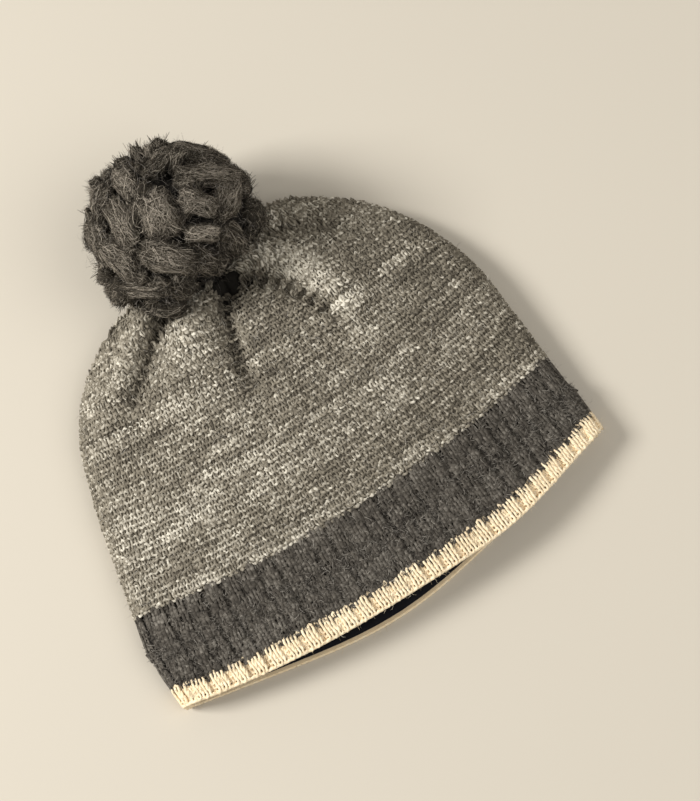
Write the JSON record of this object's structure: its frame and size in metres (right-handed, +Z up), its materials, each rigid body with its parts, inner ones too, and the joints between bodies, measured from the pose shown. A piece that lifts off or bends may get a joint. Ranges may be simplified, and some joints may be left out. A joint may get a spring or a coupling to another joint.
{
  "type": "knitted bobble beanie",
  "caption": "Slouchy knitted beanie lying on its back, with a marled crown, ribbed band, narrow ribbed edge, fleece lining and a wool pompom.",
  "frame": {"origin": "bottom centre of the hat's bounding box, on the flat underside of the crown that the hat rests on", "axes": "+Z up from the surface the hat lies on, -Y out of the mouth, +Y towards the pompom"},
  "size_m": [0.2368, 0.2458, 0.0761],
  "materials": {
    "marl_knit": "marled cream and grey wool in reverse stocking stitch, matt with a light halo of fibres",
    "charcoal_rib": "charcoal heather wool rib, matt and slightly fuzzy",
    "cream_rib": "cream wool rib with clear column stitches, matt",
    "black_fleece": "black brushed fleece, matt",
    "pompom_wool": "dark grey-brown heather wool yarn in loose cut locks, matt"
  },
  "bodies": {
    "root": {"crown": "marl_knit", "band": "charcoal_rib", "edge_trim": "cream_rib", "lining": "black_fleece", "pompom": "pompom_wool"}
  },
  "joints": []
}
